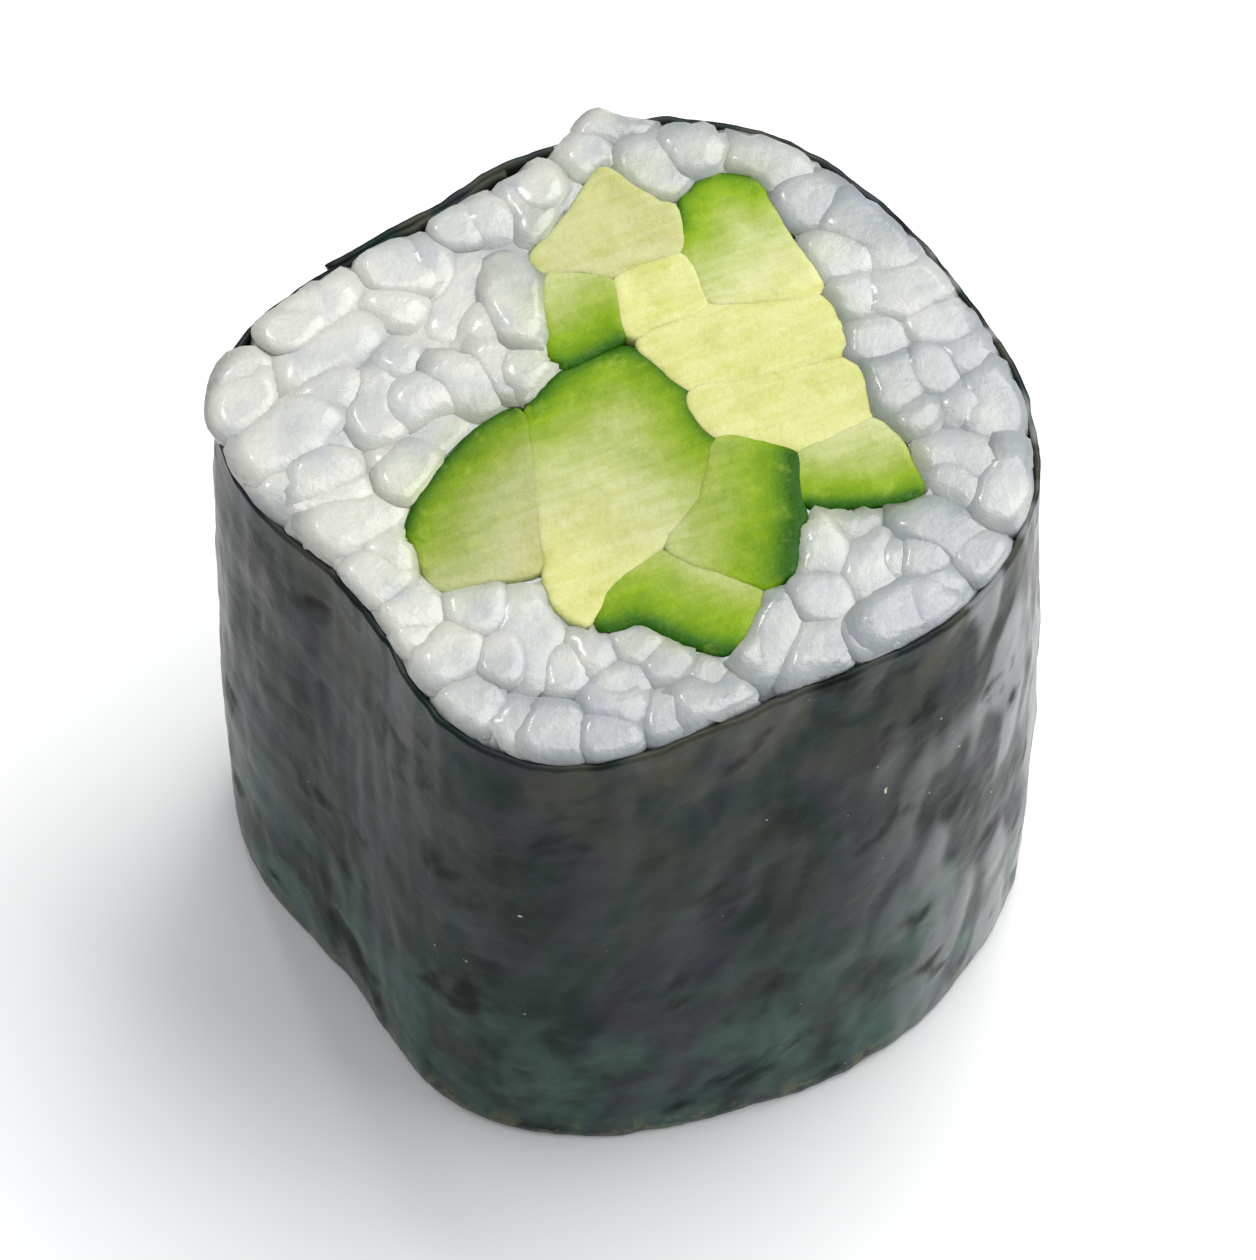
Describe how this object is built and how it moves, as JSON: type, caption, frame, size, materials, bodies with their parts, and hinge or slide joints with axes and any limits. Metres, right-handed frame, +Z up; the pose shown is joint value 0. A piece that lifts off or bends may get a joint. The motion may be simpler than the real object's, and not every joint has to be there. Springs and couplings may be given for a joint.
{
  "type": "cucumber maki sushi piece",
  "caption": "Piece cut from a cucumber maki roll, standing on its cut end: a nori wrap round pressed rice, filled with cucumber sticks.",
  "frame": {"origin": "under the middle of the piece, on the plane it stands on", "axes": "+Z up from the lower cut face to the upper one, +X along the longer side of the cut face, to the right as the picture shows the piece, +Y away from the viewer"},
  "size_m": [0.03, 0.028, 0.026],
  "materials": {
    "nori": "softened seaweed sheet, charcoal green-grey, low sheen with blotches and fine wrinkles",
    "rice": "cooked short-grain rice, moist, translucent cool white",
    "cucumber": "wet cut cucumber, pale flesh shading to mid green under a thin dark green skin",
    "cucumber_core": "wet cut cucumber core, pale yellow-green"
  },
  "bodies": {
    "root": {"nori": "nori", "rice": "rice", "cucumber_left": "cucumber", "cucumber_middle": "cucumber", "cucumber_right": "cucumber", "cucumber_front": "cucumber", "cucumber_far_right": "cucumber", "cucumber_core_low": "cucumber_core", "cucumber_core_high": "cucumber_core", "cucumber_back_right": "cucumber", "cucumber_back_left": "cucumber_core", "cucumber_core_left": "cucumber_core", "cucumber_small": "cucumber"}
  },
  "joints": []
}
